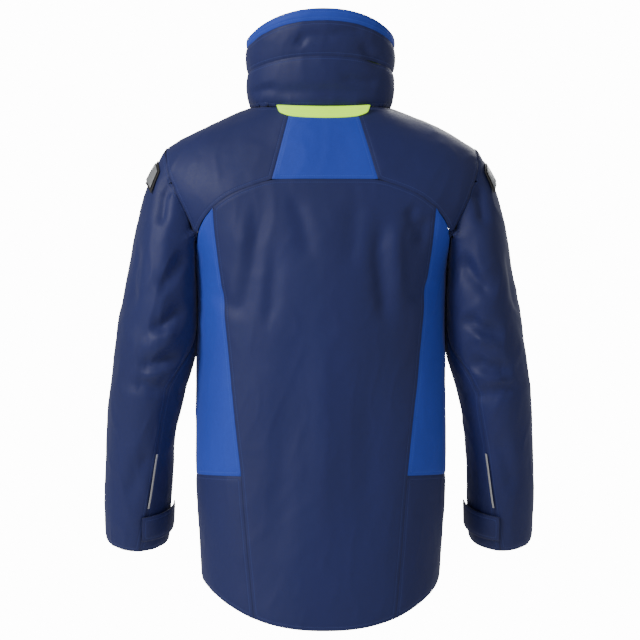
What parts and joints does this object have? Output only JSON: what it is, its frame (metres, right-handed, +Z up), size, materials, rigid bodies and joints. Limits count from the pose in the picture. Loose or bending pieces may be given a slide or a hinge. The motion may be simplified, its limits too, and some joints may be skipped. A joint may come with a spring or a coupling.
{
  "type": "foul weather jacket",
  "caption": "Hooded offshore sailing jacket with high collar, articulated sleeves, cuff tabs, storm flap, zips and flapped pockets.",
  "frame": {"origin": "the point under the hanger loop's top bar where a peg carries the jacket, at the centre back of the neck", "axes": "+Z up along the hanging jacket, the zip faces -Y, the wearer's left is +X"},
  "size_m": [0.6688, 0.3098, 0.9491],
  "materials": {
    "navy_cloth": "matte",
    "royal_cloth": "matte",
    "hi_vis_cloth": "matte",
    "lining_cloth": "matte",
    "dark_trim": "matte",
    "reflective_trim": "satin",
    "zip_plastic": "satin",
    "puller_plastic": "satin"
  },
  "bodies": {
    "shell": {"back_panel": "navy_cloth", "back_yoke_center": "royal_cloth", "back_yoke_left": "navy_cloth", "back_yoke_right": "navy_cloth", "side_panel_left": "royal_cloth", "side_panel_right": "royal_cloth", "lower_side_panel_left": "navy_cloth", "lower_side_panel_right": "navy_cloth", "front_panel_left": "navy_cloth", "front_panel_right": "navy_cloth", "front_yoke_left": "navy_cloth", "front_yoke_right": "navy_cloth", "sleeve_left": "navy_cloth", "sleeve_right": "navy_cloth", "under_sleeve_left": "navy_cloth", "under_sleeve_right": "navy_cloth", "shoulder_patch_frame_left": "dark_trim", "shoulder_patch_frame_right": "dark_trim", "shoulder_patch_reflector_left": "reflective_trim", "shoulder_patch_reflector_right": "reflective_trim", "forearm_piping_left": "reflective_trim", "forearm_piping_right": "reflective_trim", "cuff_facing_left": "lining_cloth", "cuff_facing_right": "lining_cloth", "inner_cuff_left": "lining_cloth", "inner_cuff_right": "lining_cloth", "cuff_loop_pad_left": "dark_trim", "cuff_loop_pad_right": "dark_trim", "main_zip_left": "zip_plastic", "main_zip_right": "zip_plastic", "chest_zip_left": "zip_plastic", "chest_zip_right": "zip_plastic", "pocket_wall_left": "navy_cloth", "pocket_wall_right": "navy_cloth", "pocket_gusset_left": "navy_cloth", "pocket_gusset_right": "navy_cloth", "pocket_rail_left": "navy_cloth", "pocket_rail_right": "navy_cloth", "collar_lower": "navy_cloth", "collar_upper": "navy_cloth", "collar_top_band": "royal_cloth", "collar_lining": "lining_cloth", "stowed_hood": "hi_vis_cloth", "hood_tab": "hi_vis_cloth", "hem_facing": "lining_cloth", "hanger_loop": "dark_trim", "storm_flap_welt": "navy_cloth", "storm_flap_loop_strip": "dark_trim"},
    "main_zip_slider": {"main_zip_slider": "zip_plastic"},
    "main_zip_puller": {"main_zip_puller": "puller_plastic"},
    "storm_flap": {"storm_flap": "navy_cloth"},
    "chest_zip_slider_left": {"chest_zip_slider_left": "zip_plastic"},
    "chest_zip_puller_left": {"chest_zip_puller_left": "puller_plastic"},
    "pocket_flap_left": {"pocket_flap_left": "navy_cloth"},
    "cuff_tab_left": {"cuff_tab_left": "navy_cloth"},
    "chest_zip_slider_right": {"chest_zip_slider_right": "zip_plastic"},
    "chest_zip_puller_right": {"chest_zip_puller_right": "puller_plastic"},
    "pocket_flap_right": {"pocket_flap_right": "navy_cloth"},
    "cuff_tab_right": {"cuff_tab_right": "navy_cloth"}
  },
  "joints": [
    {"name": "main_zip_slide", "type": "slide", "parent": "shell", "child": "main_zip_slider", "axis": [0, 0.0589, 0.9983], "range_m": [-0.74, 0]},
    {"name": "main_zip_puller_swing", "type": "hinge", "parent": "main_zip_slider", "child": "main_zip_puller", "pos_m": [0, -0.16006, 0.07734], "axis": [-1, 0, 0], "range_deg": [0, 100]},
    {"name": "storm_flap_fold", "type": "hinge", "parent": "shell", "child": "storm_flap", "pos_m": [0.036, -0.18992, -0.32872], "axis": [0, 0.0589, 0.9983], "range_deg": [0, 90]},
    {"name": "chest_zip_slide_left", "type": "slide", "parent": "shell", "child": "chest_zip_slider_left", "axis": [0, 0.0533, 0.9986], "range_m": [-0.122, 0]},
    {"name": "chest_zip_puller_swing_left", "type": "hinge", "parent": "chest_zip_slider_left", "child": "chest_zip_puller_left", "pos_m": [0.08192, -0.17541, -0.25252], "axis": [-0.977, -0.2127, 0.0113], "range_deg": [0, 100]},
    {"name": "pocket_flap_fold_left", "type": "hinge", "parent": "shell", "child": "pocket_flap_left", "pos_m": [0.09871, -0.19479, -0.46707], "axis": [-0.9465, -0.3223, 0.0159], "range_deg": [0, 120]},
    {"name": "cuff_tab_fold_left", "type": "hinge", "parent": "shell", "child": "cuff_tab_left", "pos_m": [0.27658, -0.0487, -0.65056], "axis": [0.0157, -0.3442, -0.9388], "range_deg": [0, 100]},
    {"name": "chest_zip_slide_right", "type": "slide", "parent": "shell", "child": "chest_zip_slider_right", "axis": [0, 0.0533, 0.9986], "range_m": [-0.122, 0]},
    {"name": "chest_zip_puller_swing_right", "type": "hinge", "parent": "chest_zip_slider_right", "child": "chest_zip_puller_right", "pos_m": [-0.08192, -0.17541, -0.25252], "axis": [-0.977, 0.2127, 0.0113], "range_deg": [0, 100]},
    {"name": "pocket_flap_fold_right", "type": "hinge", "parent": "shell", "child": "pocket_flap_right", "pos_m": [-0.09871, -0.19479, -0.46707], "axis": [-0.9465, 0.3223, -0.0159], "range_deg": [0, 120]},
    {"name": "cuff_tab_fold_right", "type": "hinge", "parent": "shell", "child": "cuff_tab_right", "pos_m": [-0.27658, -0.0487, -0.65056], "axis": [0.0157, 0.3442, 0.9388], "range_deg": [0, 100]}
  ]
}
